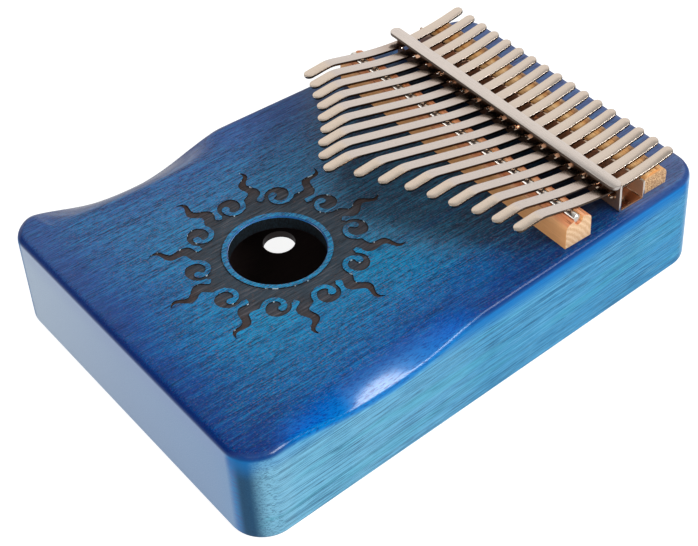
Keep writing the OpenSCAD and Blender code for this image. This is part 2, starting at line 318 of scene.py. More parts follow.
def stained_burst(mat, from_side):
    """Sunburst stain of the top with painted shade and painted sheen laid over it, and how strongly
    the grain shows on it.
    """
    x, y, _ = mat.position
    corner_blend, cloud_drift = 16.0, 20.0   # softening at corners; wander of the bands
    from_end = mat.calc("SUBTRACT", HALF_LENGTH, mat.size(y))
    from_edge = mat.calc("SMOOTH_MIN", from_side, from_end, corner_blend)
    cloud = mat.noise(per_mm=(0.03, 0.014, 0.03), detail=4.0, rough=0.6)
    from_edge = mat.linear(mat.centred(cloud), base=from_edge, gain=cloud_drift)
    burst = mat.ramp(mat.mask(from_edge, off=-2.0, on=44.0, smooth=False), [
        (0.00, rgb(20, 44, 112)), (0.10, rgb(16, 56, 128)), (0.22, rgb(6, 70, 146)),
        (0.42, rgb(6, 97, 166)), (0.72, rgb(16, 126, 183)), (1.00, rgb(22, 137, 186))])
    # painted sheen: the top is paler to the left and to the rear
    burst = mat.layer(burst, mat.mask(x, off=30.0, on=-62.0), rgb(76, 102, 158), amount=0.55)
    burst = mat.layer(burst, mat.mask(y, off=40.0, on=92.0), rgb(58, 82, 140), amount=0.35)
    # painted shade: darker right of the keys and at the front right corner
    painted_key_shade = mat.product(mat.mask(y, off=2.0, on=30.0), mat.mask(x, off=10.0, on=44.0))
    burst = mat.layer(burst, painted_key_shade, rgb(2, 42, 96), amount=0.62)
    corner = mat.product(mat.mask(x, off=20.0, on=58.0), mat.mask(y, off=-52.0, on=-78.0))
    burst = mat.layer(burst, corner, rgb(2, 48, 124), amount=0.55)
    # shaded wood under and just in front of the V of the key tips
    reach = mat.size(mat.calc("SUBTRACT", x, SET_X))
    middle_tip = tip_y(MIDDLE_KEY)
    vee_slope = (tip_y(17) + tip_y(1) - 2 * middle_tip) / 2 / (8 * PITCH)
    vee = mat.calc("MULTIPLY_ADD", reach, vee_slope, middle_tip)
    shade = mat.product(mat.mask(mat.calc("SUBTRACT", y, vee), off=-11.0, on=5.0),
                        mat.mask(y, off=60.0, on=52.0), mat.mask(x, off=50.0, on=28.0))
    burst = mat.layer(burst, shade, rgb(84, 92, 100), amount=0.50)
    under = mat.product(mat.mask(mat.calc("SUBTRACT", y, vee), off=1.0, on=12.0),
                        mat.mask(y, off=70.0, on=60.0), mat.mask(reach, off=56.0, on=48.0))
    deepening = mat.mask(y, off=40.0, on=46.0, low=0.62, high=0.92)
    burst = mat.layer(burst, under, rgb(22, 18, 24), amount=deepening)
    hidden = mat.product(under, mat.mask(y, off=40.0, on=46.0, low=0.30, high=0.80))
    clear = mat.invert(hidden)
    # painted sheen: paler wood behind the bracket, fading out toward the right end
    behind = mat.product(mat.mask(y, off=56.0, on=66.0), mat.mask(x, off=74.0, on=60.0))
    burst = mat.layer(burst, behind, rgb(100, 114, 158), amount=0.70)
    return burst, mat.product(mat.mask(from_edge, off=3.0, on=24.0, low=0.35), clear)


def stained_top(mat, wood):
    top, shown = stained_burst(mat, wood.from_side)
    pores = mat.mask(wood.pore, off=0.42, on=0.34)
    top = mat.layer(top, wood.dark, rgb(22, 42, 60), amount=0.60, within=shown)
    top = mat.layer(top, wood.thin, rgb(14, 30, 54), amount=0.62, within=shown)
    top = mat.layer(top, pores, rgb(28, 22, 42), amount=0.60, within=shown)
    top = mat.layer(top, wood.lines, rgb(10, 30, 62), amount=0.22)
    broken = mat.product(wood.ridge_top, mat.mask(wood.pore, off=0.36, on=0.52))
    top = mat.layer(top, broken, rgb(10, 22, 44), amount=0.62)
    # light streaks, then reddish flecks
    for noise, off, on, amount, colour in (
            (wood.streak, 0.50, 0.64, 0.46, rgb(30, 152, 200)),
            (wood.fine, 0.54, 0.66, 0.42, rgb(50, 160, 206)),
            (wood.fleck, 0.56, 0.64, 0.56, rgb(122, 88, 106))):
        top = mat.layer(top, mat.mask(noise, off, on), colour, amount, within=shown)
    broad = mat.mask(wood.broad, off=0.54, on=0.70)
    top = mat.layer(top, broad, rgb(14, 54, 112), amount=0.22)
    # painted shade: the sunk right edge beside the sound hole is a deeper, stronger blue
    hollow_shade = mat.mix(wood.thin, rgb(0, 103, 198), rgb(0, 66, 156))
    return mat.layer(top, wood.hollow, hollow_shade, amount=0.80)


def stained_side(mat, wood):
    """Long sides, paler than the top partly by their finish and partly as painted light, with the
    same grain.
    """
    _, y, z = mat.position
    side = mat.ramp(mat.mask(y, off=-95.0, on=95.0, smooth=False), [
        (0.0, rgb(130, 186, 212)), (0.12, rgb(116, 180, 210)),
        (0.5, rgb(78, 153, 196)), (1.0, rgb(62, 140, 190))])
    fleece_dark = mat.mask(wood.fleece, off=0.50, on=0.36)
    side = mat.layer(side, fleece_dark, rgb(44, 104, 152), amount=0.42)
    side = mat.layer(side, mat.mask(wood.fibre, off=0.46, on=0.35), rgb(24, 66, 106), amount=0.42)
    broken = mat.product(wood.ridge_side, mat.mask(wood.fleece, off=0.38, on=0.52, low=0.35))
    side = mat.layer(side, broken, rgb(22, 56, 92), amount=0.70)
    for noise, off, on, amount, colour in (
            (wood.fibre, 0.52, 0.64, 0.46, rgb(124, 190, 222)),
            (wood.fleece, 0.53, 0.66, 0.30, rgb(118, 186, 220)),
            (wood.broad, 0.5, 0.70, 0.30, rgb(72, 172, 190))):
        side = mat.layer(side, mat.mask(noise, off, on), colour, amount)
    upper = mat.product(mat.mask(z, off=28.0, on=33.5), mat.mask(y, off=-80.0, on=10.0, low=0.35))
    return mat.layer(side, upper, rgb(4, 104, 182), amount=0.82)


def stained_end(mat, turn):
    """End faces: stippled end grain whose paleness is partly painted light, paler to the left by
    painted light, darker round the front corners.
    """
    x, _, z = mat.position
    stipple = mat.noise(per_mm=(3.2, 1.0, 3.2), detail=2.0, rough=0.7)
    # painted light: paler toward the left
    end = mat.ramp(mat.mask(x, off=-66.0, on=66.0, smooth=False), [
        (0.0, rgb(196, 212, 230)), (0.5, rgb(170, 190, 218)),
        (0.88, rgb(154, 180, 214)), (1.0, rgb(140, 176, 216))])
    end = mat.layer(end, mat.mask(stipple, off=0.46, on=0.32), rgb(126, 150, 188), amount=0.34)
    end = mat.layer(end, mat.mask(stipple, off=0.55, on=0.70), rgb(220, 232, 246), amount=0.28)
    end = mat.layer(end, mat.mask(z, off=24.0, on=34.0), rgb(160, 170, 216), amount=0.20)
    front = mat.mask(mat.normal[1], off=0.0, on=-0.1)
    dash = mat.noise(per_mm=(0.22, 0.22, 2.2), detail=3.0, rough=0.65, offset=(5, 5, 0))
    dashes = mat.mix(mat.mask(dash, off=0.40, on=0.60), rgb(92, 120, 180), rgb(66, 146, 204))
    end = mat.layer(end, mat.mask(turn, off=0.04, on=0.30), dashes, within=front)
    speckle = mat.mix(stipple, rgb(12, 50, 84), rgb(46, 98, 136))
    end = mat.layer(end, mat.mask(turn, off=0.24, on=0.50), speckle, within=front)
    upper = mat.product(mat.mask(z, off=25.0, on=34.0, high=0.75),
                        mat.mask(turn, off=0.04, on=0.32))
    return mat.layer(end, upper, rgb(20, 116, 190), within=front)


def stained_gloss(mat, wood, turn):
    """Where the rounded top edge shines, and where it stays dull."""
    _, y, _ = mat.position
    nz = mat.normal[2]
    dull = mat.product(mat.mask(y, off=-82.0, on=-78.0), mat.mask(y, off=-53.0, on=-59.0),
                       wood.near_right)
    middle = mat.mask(y, off=-14.0, on=-6.0)
    middle_amount = 0.75
    dull = mat.calc("MAXIMUM", dull, mat.product(middle, middle_amount))
    front = mat.product(mat.mask(y, off=-88.0, on=-91.0), mat.mask(turn, off=0.30, on=0.12))
    dull = mat.calc("MAXIMUM", dull, front)
    gloss = mat.product(mat.mask(nz, off=0.996, on=0.93), mat.mask(nz, off=0.66, on=0.82),
                        mat.invert(dull), mat.mask(wood.fine, off=0.34, on=0.58, low=0.55))
    return gloss, dull


def stained_wood():
    mat = Shader("stained_wood")
    wood = stained_patterns(mat)
    nx, ny, nz = mat.normal
    turn = mat.size(nx)
    flank = mat.mix(mat.mask(mat.size(nx), off=0.64, on=0.95),
                    stained_end(mat, turn), stained_side(mat, wood))
    gleam = mat.product(mat.mask(ny, off=0.25, on=0.55), mat.mask(ny, off=0.95, on=0.7))
    flank = mat.layer(flank, gleam, rgb(150, 190, 220), amount=0.5)
    colour = mat.mix(mat.mask(nz, off=0.36, on=0.66), flank, stained_top(mat, wood))
    # stain line round the top edge
    rim = mat.product(mat.mask(nz, off=0.22, on=0.50), mat.mask(nz, off=0.97, on=0.80))
    long_blue = mat.mix(wood.near_right, rgb(28, 60, 136), rgb(6, 58, 122))
    rim_blue = mat.mix(mat.mask(mat.size(nx), off=0.22, on=0.40), rgb(10, 36, 104), long_blue)
    # painted shade: the rim along the sunk right edge takes the same deeper blue
    hollow_blue = mat.mix(wood.thin, rgb(0, 116, 186), rgb(0, 84, 150))
    rim_blue = mat.layer(rim_blue, wood.hollow, hollow_blue, within=wood.near_right)
    colour = mat.layer(colour, rim, rim_blue, amount=0.72)
    # underside
    base = mat.mix(mat.mask(wood.streak, off=0.35, on=0.64), rgb(34, 80, 128), rgb(74, 138, 186))
    base = mat.layer(base, wood.lines, rgb(26, 58, 98), amount=0.5)
    colour = mat.mix(mat.mask(nz, off=-0.3, on=-0.8), colour, base)

    gloss, dull = stained_gloss(mat, wood, turn)
    streak_share, specular = 0.5, 0.09       # part of the streaks in the relief; shine
    relief = mat.linear(wood.fine, base=mat.product(wood.streak, streak_share), gain=0.5)
    dull_edge = mat.product(dull, mat.mask(nz, off=0.996, on=0.93))
    return mat.finish(
        Base_Color=colour, Roughness=mat.linear(wood.dark, base=0.36, gain=0.14),
        Specular_IOR_Level=mat.product(specular, mat.invert(dull_edge)),
        Normal=mat.bump(relief, strength=0.16, distance=0.05),
        Coat_Weight=mat.linear(gloss, base=0.06, gain=0.90), Coat_Roughness=0.15, Coat_IOR=1.45)


# ------------------------------------------------------------------ other woods
def charred_wood():
    mat = Shader("charred_wood")
    x, y, _ = mat.position
    streak = mat.noise(per_mm=(1.5, 0.09, 1.5), detail=5.0, rough=0.72)
    fine = mat.noise(per_mm=(3.6, 0.7, 3.6), detail=3.0, rough=0.7)
    y_squared = mat.calc("POWER", mat.calc("SUBTRACT", y, HOLE_Y), 2.0)
    radius = mat.calc("SQRT", mat.calc("ADD", mat.product(x, x), y_squared))
    base = mat.mix(mat.mask(radius, off=20.0, on=36.0), rgb(46, 60, 72), rgb(60, 50, 50))
    for value, off, on, amount, colour in (
            (streak, 0.50, 0.36, 0.80, rgb(22, 22, 26)),
            (streak, 0.52, 0.66, 0.55, rgb(98, 98, 104)),
            (fine, 0.56, 0.68, 0.55, rgb(98, 68, 56)),
            (radius, 32.0, 40.0, 0.55, rgb(58, 36, 28))):
        base = mat.layer(base, mat.mask(value, off, on), colour, amount)
    # upright walls: dark, with pale painted glints
    painted_glint = mat.noise(per_mm=(0.7, 0.7, 0.02), detail=2.0, rough=0.6, offset=(3, 3, 3))
    wall = mat.mix(mat.mask(painted_glint, off=0.60, on=0.66), rgb(26, 18, 16), rgb(190, 210, 222))
    base = mat.mix(mat.mask(mat.normal[2], off=0.7, on=0.3), base, wall)
    return mat.finish(
        Base_Color=base, Roughness=0.72, Specular_IOR_Level=0.3,
        Normal=mat.bump(mat.calc("ADD", streak, fine), strength=0.6, distance=0.14))


def inside_wood():
    """Wood of the chamber, with a darker wall round the sound hole."""
    mat = Shader("inside_wood")
    streak = mat.noise(per_mm=(0.8, 0.05, 0.8), detail=3.0, rough=0.6)
    grit = mat.noise(per_mm=(2.4, 2.4, 0.9), detail=3.0, rough=0.7)
    chamber = mat.mix(streak, rgb(66, 26, 28), rgb(110, 58, 52))
    wall = mat.mix(mat.mask(grit, off=0.36, on=0.66), rgb(6, 10, 14), rgb(22, 34, 42))
    return mat.finish(
        Base_Color=mat.mix(mat.mask(mat.position[2], off=30.6, on=31.6), chamber, wall),
        Roughness=0.7, Specular_IOR_Level=0.2,
        Normal=mat.bump(streak, strength=0.4, distance=0.1))


def back_wood():
    mat = Shader("back_wood")
    streak = mat.noise(per_mm=(0.9, 0.03, 0.9), detail=5.0, rough=0.66)
    fine = mat.noise(per_mm=(3.0, 0.14, 3.0), detail=3.0, rough=0.6)
    face = mat.mix(mat.mask(streak, off=0.35, on=0.68), rgb(34, 84, 136), rgb(78, 144, 192))
    face = mat.layer(face, mat.mask(fine, off=0.5, on=0.35), rgb(26, 58, 96), amount=0.5)
    dark = mat.mix(fine, rgb(44, 34, 34), rgb(84, 70, 68))
    return mat.finish(
        Base_Color=mat.mix(mat.mask(mat.normal[2], off=-0.7, on=-0.2), face, dark),
        Roughness=0.45, Specular_IOR_Level=0.3,
        Normal=mat.bump(mat.calc("ADD", streak, fine), strength=0.25, distance=0.05),
        Coat_Weight=0.12, Coat_Roughness=0.2)


def front_end_grain(mat, ring, grain):
    """Arcs of growth rings round a point low in the bridge."""
    _, y, z = mat.position
    centre_y, centre_z = 27.0, 30.0
    rings_per_mm, ring_wander = 3.6, 3.0     # radians per mm; bending by the ring noise
    ring_depth, grain_share, level = 0.06, 0.5, 0.23
    squares = [mat.calc("POWER", mat.calc("SUBTRACT", value, centre), 2.0)
               for value, centre in ((y, centre_y), (z, centre_z))]
    radius = mat.calc("SQRT", mat.calc("ADD", *squares))
    phase = mat.calc("MULTIPLY_ADD", radius, rings_per_mm, mat.product(ring, ring_wander))
    arcs = mat.calc("MULTIPLY_ADD", mat.calc("SINE", phase), ring_depth,
                    mat.calc("MULTIPLY_ADD", grain, grain_share, level))
    end = mat.mix(mat.mask(arcs, off=0.36, on=0.60), rgb(202, 160, 120), rgb(228, 196, 160))
    return mat.layer(end, mat.mask(grain, off=0.46, on=0.36), rgb(178, 124, 80), amount=0.28)


def rear_end_grain(mat, _ring, grain):
    end = mat.mix(mat.mask(grain, off=0.38, on=0.62), rgb(136, 92, 56), rgb(224, 190, 148))
    return mat.mix(mat.mask(mat.position[2], off=42.4, on=44.0), end, rgb(214, 142, 74))


def bridge_wood(name, bands, end_grain):
    """Bands are colour stops across the growth rings; end_grain colours the two ends."""
    mat = Shader(name)
    nx, ny, _ = mat.normal
    ring = mat.noise(per_mm=(0.016, 0.42, 0.42), detail=2.0, rough=0.5, offset=(0, 2, 5),
                     distortion=0.4)
    fine = mat.noise(per_mm=(0.10, 2.6, 2.6), detail=3.0, rough=0.65)
    pore = mat.noise(per_mm=(0.14, 1.9, 1.9), detail=2.0, rough=0.5, offset=(4, 1, 0))
    grain = mat.noise(per_mm=(2.6, 2.6, 2.6), detail=3.0, rough=0.75)
    colour = mat.ramp(ring, bands)
    colour = mat.layer(colour, mat.mask(fine, off=0.5, on=0.36), rgb(168, 104, 62), amount=0.42)
    colour = mat.layer(colour, mat.mask(pore, off=0.41, on=0.34), rgb(118, 66, 38), amount=0.70)
    # painted light: faces toward the front are lighter and more orange
    colour = mat.layer(colour, mat.mask(ny, off=-0.6, on=-0.95), rgb(255, 188, 122), amount=0.74)
    colour = mat.mix(mat.mask(mat.size(nx), off=0.55, on=0.9), colour,
                     end_grain(mat, ring, grain))
    return mat.finish(
        Base_Color=colour, Roughness=0.55, Specular_IOR_Level=0.3,
        Normal=mat.bump(mat.calc("ADD", fine, pore), strength=0.25, distance=0.06))


# ------------------------------------------------------------------ steels
# noise frequency of brush marks that run along an axis
BRUSH_X, BRUSH_Y, BRUSH_Z = (0.10, 4.0, 4.0), (4.0, 0.10, 4.0), (4.0, 4.0, 0.2)


def metal(name, tint, rough, brush_marks, relief=0.05, under=None, side=None, side_from=0.5,
          front=None, trough=None, shadow=None, rear=None, warm_reflection=None):
    """Brushed steel. The colours after relief are optional, each painted light on one part:
    under, side and front for faces that way (painted shade where darker, a painted highlight
    where lighter), trough for the bracket's inside (a painted reflection of the wood), rear for
    tops behind the bar (a tone painted for the light there); shadow (a painted shadow ahead of
    the bar) and the warm tint (a painted warm reflection on forward-sloping faces) multiply."""
    mat = Shader(name)
    _, y, z = mat.position
    nx, ny, nz = mat.normal
    brush = mat.noise(per_mm=brush_marks, detail=3.0, rough=0.6)
    smear = mat.noise(per_mm=(0.20, 0.08, 0.20), detail=3.0, rough=0.6)
    spot = mat.noise(per_mm=(1.6, 1.2, 1.6), detail=2.0, rough=0.6)
    brush_dark, spot_dark = scaled(tint, 0.95), scaled(tint, 0.62)
    colour = mat.mix(mat.mask(brush, off=0.35, on=0.65), brush_dark, tint)
    colour = mat.layer(colour, mat.mask(spot, off=0.62, on=0.70), spot_dark, amount=0.22)
    metallic = 1.0
    if under is not None:
        colour = mat.mix(mat.mask(nz, off=-0.2, on=-0.7), colour, under)
    if side is not None:
        sideways = mat.mask(mat.size(nx), off=side_from, on=side_from + 0.35)
        colour = mat.mix(sideways, colour, side)
    if front is not None:
        colour = mat.mix(mat.mask(ny, off=-0.5, on=-0.85), colour, front)
        metallic = mat.mask(ny, off=-0.5, on=-0.85, low=1.0, high=0.45)
    if trough is not None:
        within = mat.product(mat.mask(y, off=59.48, on=59.62), mat.mask(y, off=69.2, on=68.8),
                             mat.mask(z, off=36.7, on=37.0))
        colour = mat.mix(within, colour, trough)
    if shadow is not None:
        near_bar = mat.product(mat.mask(y, off=42.0, on=55.0), mat.mask(y, off=60.0, on=57.0))
        shaded = mat.mix(1.0, colour, shadow, mode="MULTIPLY")
        colour = mat.layer(colour, near_bar, shaded, amount=0.55)
    if rear is not None:
        behind = mat.product(mat.mask(y, off=60.0, on=66.0), mat.mask(nz, off=0.5, on=0.9))
        colour = mat.mix(behind, colour, rear)
    if warm_reflection is not None:
        warm_reflected = mat.mix(1.0, colour, warm_reflection, mode="MULTIPLY")
        colour = mat.mix(mat.mask(ny, off=0.14, on=-0.06), colour, warm_reflected)
    roughness = mat.linear(mat.centred(smear), base=rough, gain=0.16)
    roughness = mat.linear(mat.mask(brush, off=0.5, on=0.7), base=roughness, gain=0.04,
                           clamp=True)
    return mat.finish(Base_Color=colour, Metallic=metallic, Roughness=roughness,
                      Normal=mat.bump(brush, strength=relief, distance=0.02))


STAINED = stained_wood()
CHARRED = charred_wood()
INSIDE = inside_wood()
BACK = back_wood()
FRONT_BRIDGE = bridge_wood("front_bridge_wood", [
    (0.30, rgb(190, 110, 70)), (0.45, rgb(216, 140, 96)),
    (0.58, rgb(230, 162, 118)), (0.75, rgb(242, 190, 150))], front_end_grain)
REAR_BRIDGE = bridge_wood("rear_bridge_wood", [
    (0.30, rgb(176, 112, 56)), (0.50, rgb(222, 166, 104)), (0.72, rgb(240, 200, 146))],
    rear_end_grain)
# painted light on the keys: darker under and side faces are painted shade, tops behind the bar a
# painted tone, shadow a painted shadow, the warm tint a painted reflection
KEY_STEEL = metal(
    "key_steel", tint=rgb(212, 201, 194), rough=0.20, brush_marks=BRUSH_Y,
    under=rgb(120, 108, 98), side=rgb(92, 80, 72), side_from=0.20, warm_reflection=(1.11, 1.06, 0.96, 1.0),
    rear=rgb(210, 200, 195), shadow=rgb(196, 172, 152))
ROD_STEEL = metal("rod_steel", tint=rgb(236, 230, 222), rough=0.26, brush_marks=BRUSH_X)
# painted light on the bracket: lighter sideways faces are a painted highlight, the dark front wall
# painted shade, the trough's brown a painted reflection of the wood
BRACKET_STEEL = metal(
    "bracket_steel", tint=rgb(190, 172, 156), rough=0.16, brush_marks=BRUSH_X,
    side=rgb(240, 232, 224), front=rgb(142, 114, 96), trough=rgb(206, 160, 128))
# painted shade on the pressure bar: its dark underside and darker front face
BAR_STEEL = metal(
    "bar_steel", tint=rgb(222, 212, 205), rough=0.24, brush_marks=BRUSH_X, relief=0.02,
    under=rgb(44, 30, 23), front=rgb(120, 106, 96))
SCREW_STEEL = metal("screw_steel", tint=rgb(206, 202, 198), rough=0.22, brush_marks=BRUSH_Z)

BODY_MATERIALS = [STAINED, CHARRED, INSIDE]
STAINED_SLOT, CHARRED_SLOT, INSIDE_SLOT = range(3)


# ------------------------------------------------------------------ mesh helpers
def new_object(name, shape, materials, slots=None, sharp=32.0):
    """Object from (vertices, faces); slots is one material slot, or one per face."""
    verts, faces = shape
    mesh = bpy.data.meshes.new(name)
    mesh.from_pydata([tuple(float(c) * MM for c in v) for v in verts], [], faces)
    for material in materials:
        mesh.materials.append(material)
    if slots is not None:
        mesh.polygons.foreach_set("material_index", np.full(len(faces), slots, dtype=np.int32))
    ob = bpy.data.objects.new(name, mesh)
    scene.collection.objects.link(ob)
    tidy(ob, sharp)
    return ob


def tidy(ob, sharp):
    """Welds, turns faces outward and shades smooth up to the sharp angle in degrees."""
    mesh = ob.data
    work = bmesh.new()
    work.from_mesh(mesh)
    bmesh.ops.remove_doubles(work, verts=work.verts, dist=2e-7)
    bmesh.ops.recalc_face_normals(work, faces=work.faces)
    work.to_mesh(mesh)
    work.free()
    mesh.shade_smooth()
    mesh.set_sharp_from_angle(angle=math.radians(sharp))
    mesh.update()


def loft(rings):
    """Rings of equal length, joined one to the next, with caps at both ends."""
    n = len(rings[0])
    verts = [point for ring in rings for point in ring]
    faces = []
    for a in range(len(rings) - 1):
        for k in range(n):
            after = (k + 1) % n
            faces.append((a * n + k, a * n + after, (a + 1) * n + after, (a + 1) * n + k))
    faces.append(tuple(range(n))[::-1])
    faces.append(tuple((len(rings) - 1) * n + k for k in range(n)))
    return verts, faces


def turned(profile, centre_x, centre_y, count):
    """Solid turned about an upright axis from (radius, z) stations."""
    turns = [2 * math.pi * k / count for k in range(count)]
    return loft([[(centre_x + radius * math.cos(a), centre_y + radius * math.sin(a), z)
                  for a in turns] for radius, z in profile])


def prism(outline, bottom, top):
    return loft([[(x, y, z) for x, y in outline] for z in (bottom, top)])


def merge(shapes):
    verts, faces = [], []
    for more_verts, more_faces in shapes:
        base = len(verts)
        verts += more_verts
        faces += [tuple(k + base for k in face) for face in more_faces]
    return verts, faces


def cut(ob, tool):
    """Takes the tool away from the object and deletes the tool."""
    modifier = ob.modifiers.new("cut", "BOOLEAN")
    modifier.operation = "DIFFERENCE"
    modifier.solver = "EXACT"
    modifier.object = tool
    bpy.context.view_layer.update()
    graph = bpy.context.evaluated_depsgraph_get()
    mesh = bpy.data.meshes.new_from_object(ob.evaluated_get(graph))
    ob.modifiers.clear()
    old = ob.data
    ob.data = mesh
    bpy.data.meshes.remove(old)
    bpy.data.objects.remove(tool)


def install(ob, piece):
    """Lets a piece ride on the box in place of its CAD piece."""
    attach(ob, "soundbox")
    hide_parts(piece)


# ------------------------------------------------------------------ outline of the box
# corners counterclockwise from the front right, with the edge that starts at each
CORNERS = np.array([(half_width(-HALF_LENGTH), -HALF_LENGTH), (half_width(HALF_LENGTH), HALF_LENGTH),
                    (-half_width(HALF_LENGTH), HALF_LENGTH),
                    (-half_width(-HALF_LENGTH), -HALF_LENGTH)])
EDGES = np.roll(CORNERS, -1, 0) - CORNERS
NORMALS = np.stack([EDGES[:, 1], -EDGES[:, 0]], 1) / np.linalg.norm(EDGES, axis=1)[:, None]
BEFORE = np.roll(NORMALS, 1, 0)
# move of a corner for each mm that both its edges move inward
SLIDE = -(BEFORE + NORMALS) / (1 + (BEFORE * NORMALS).sum(1))[:, None]
ANGLES = np.arctan2(NORMALS[:, 1], NORMALS[:, 0])
ARC_STEPS, SIDE_STEPS, END_STEPS = 18, 110, 64

# samples round the outline: (0 on an arc or 1 on an edge, corner, fraction along)
samples = []
for k in range(4):
    samples += [(0, k, j / ARC_STEPS) for j in range(ARC_STEPS + 1)]
    steps = SIDE_STEPS if k in (0, 2) else END_STEPS
    samples += [(1, k, j / steps) for j in range(1, steps)]
KIND, CORNER, FRACTION = (np.array(column) for column in zip(*samples))


def plan(inset):
    """The outline moved inward; inset is one distance or one for each sample."""
    inset = np.broadcast_to(np.asarray(inset, float), (len(samples),))
    radius = np.maximum(CORNER_R - inset, 2.0)
    to_centre = inset + radius
    centre = CORNERS[CORNER] + to_centre[:, None] * SLIDE[CORNER]
    start_angle = ANGLES[CORNER - 1]
    sweep = np.mod(ANGLES[CORNER] - start_angle, 2 * math.pi)
    angle = start_angle + sweep * FRACTION
    arc = centre + radius[:, None] * np.stack([np.cos(angle), np.sin(angle)], 1)
    following = (CORNER + 1) % 4
    next_centre = CORNERS[following] + to_centre[:, None] * SLIDE[following]
    start = centre + radius[:, None] * NORMALS[CORNER]
    end = next_centre + radius[:, None] * NORMALS[CORNER]
    line = start + (end - start) * FRACTION[:, None]
    return np.where((KIND == 0)[:, None], arc, line)


def hump(y, peak, front_reach, rear_reach):
    """1 at the peak, easing to 0 at each reach."""
    away = np.where(y < peak, (peak - y) / front_reach, (y - peak) / rear_reach)
    return np.clip(1 - away * away, 0, 1) ** 1.5


# the top sinks toward its long edges beside the sound hole
OUTLINE = plan(0.0)
RIGHT = OUTLINE[:, 0] > 0
DEPTH = np.where(RIGHT, 6.9 * hump(OUTLINE[:, 1], -41.0, 39.0, 38.0),
                 10.2 * hump(OUTLINE[:, 1], -51.0, 37.0, 39.0))
DEPTH = np.where(np.abs(OUTLINE[:, 0]) > 30, DEPTH, 0.0)
REACH = np.where(RIGHT, 12.5, 14.5)
# radius of the top edge, tighter where it sinks
EDGE_ROUND = 3.2 - 1.7 * np.clip(DEPTH / 5.0, 0, 1) ** 0.7


def surface(inset):
    """Height of the top at a distance in from the outline."""
    inward = np.clip(inset / REACH, 0, 1)
    return HEIGHT - DEPTH * (1 - inward) ** 2 * (1 + 0.6 * inward)


def build_body():
    base_round = 1.5                         # radius of the bottom edge
    last_inset = 24.0                        # inset of the last ring of the top
    rings = []
    for j in range(6):
        angle = j / 5 * math.pi / 2
        z = base_round * (1 - math.cos(angle))
        rings.append([(x, y, z) for x, y in plan(base_round * (1 - math.sin(angle)))])
    wall_top = surface(0.0) - EDGE_ROUND
    for j in range(1, 9):
        rings.append([(x, y, base_round + j / 8 * (z - base_round))
                      for (x, y), z in zip(OUTLINE, wall_top)])
    for j in range(1, 10):
        angle = j / 9 * math.pi / 2
        inset = EDGE_ROUND * (1 - math.cos(angle))
        heights = surface(inset) - EDGE_ROUND * (1 - math.sin(angle))
        rings.append([(x, y, z) for (x, y), z in zip(plan(inset), heights)])
    for fraction in (0.03, 0.07, 0.115, 0.16, 0.205, 0.25, 0.295, 0.34, 0.385, 0.43, 0.475,
                     0.52, 0.58, 0.66, 0.78, 1.0):
        inset = EDGE_ROUND + (last_inset - EDGE_ROUND) * fraction
        rings.append([(x, y, z) for (x, y), z in zip(plan(inset), surface(inset))])
    return new_object("vis_soundbox", loft(rings), BODY_MATERIALS)


def inset_outline(wall, rear):
    """Outline set in by wall at the sides and front, ending at y = rear, corners cut off."""
    front = -HALF_LENGTH + wall
    corner = 7.0
    wide, narrow = half_width(front) - wall, half_width(rear) - wall
    right = [(wide - corner, front), (wide, front + corner),
             (narrow, rear - corner), (narrow - corner, rear)]
    return right + [(-x, y) for x, y in right[::-1]]


# ------------------------------------------------------------------ the sunk sun pattern
RAYS, RAY_TIP = 10, 41.2


def ray_field(out, side):
    """Wavy ray along +out that tapers to its tip; below zero inside."""
    base, start = 20.0, 18.0                 # where the taper starts; end of the ray at the ring
    along = np.clip((out - base) / (RAY_TIP - base), 0, 1)
    # sideways wave: height 1.50, growing from 21.5 over 3.5, wave length 9.2
    height = 1.50 * np.clip((out - 21.5) / 3.5, 0, 1) * (1 - 0.30 * along)
    wave = height * np.sin(2 * math.pi * (out - 22.6) / 9.2)
    hook = 9.0 * np.clip(along - 0.84, 0, 1) ** 1.5
    # half width: 3.35 at the base, with swellings 4.3 apart
    swell = 1 + 0.13 * np.cos(2 * math.pi * (out - 23.2) / 4.3) * (1 - along)
    half = 3.35 * (1 - along) ** 0.78 * swell
    return np.maximum(np.abs(side - (wave + hook)) - half,
                      np.maximum(out - RAY_TIP, start - out))


def spiral_field(across, out):
    """Spiral band from the centre of a curl, thicker at its inner end."""
    half, beads = 0.84, 56
    swell_from, swell = 0.82, 0.42           # fraction of the band; added half width
    band = np.full_like(out, 1e3)
    for j in range(beads + 1):
        f = j / beads
        angle = math.radians(58 - 262 * f)
        radius = 5.5 - 3.85 * f ** 0.85
        bead = half
        if f > swell_from:
            bead += swell * math.sin((f - swell_from) / (1 - swell_from) * math.pi / 2)
        bead_x, bead_y = radius * math.cos(angle), radius * math.sin(angle)
        band = np.minimum(band, np.hypot(across - bead_x, out - bead_y) - bead)
    return band


def sun_field(x, y):
    """Below zero inside the pattern, with x and y from the hole's centre."""
    ring_inner, ring_outer = 17.75, 23.0
    curl_at, head_r = 25.9, 4.45             # centre of a curl from the hole; its radius
    neck_in, neck_side, neck_r = 3.2, 2.6, 2.6
    radius = np.hypot(x, y)
    angle = np.arctan2(y, x)
    step = 2 * math.pi / RAYS
    ring = np.maximum(ring_inner - radius, radius - ring_outer)
    turn = np.mod(angle - math.pi / 2 + step / 2, step) - step / 2
    sunk = np.minimum(ring, ray_field(radius * np.cos(turn), radius * np.sin(turn)))
    # curls, midway between the rays, each with a spiral left standing
    turn = np.mod(angle - math.pi / 2, step) - step / 2
    out, across = radius * np.cos(turn) - curl_at, -(radius * np.sin(turn))
    head = np.hypot(out, across) - head_r
    neck = np.hypot(out + neck_in, across + neck_side) - neck_r
    sunk = np.minimum(sunk, np.minimum(head, neck))
    return np.maximum(sunk, -spiral_field(across, out))


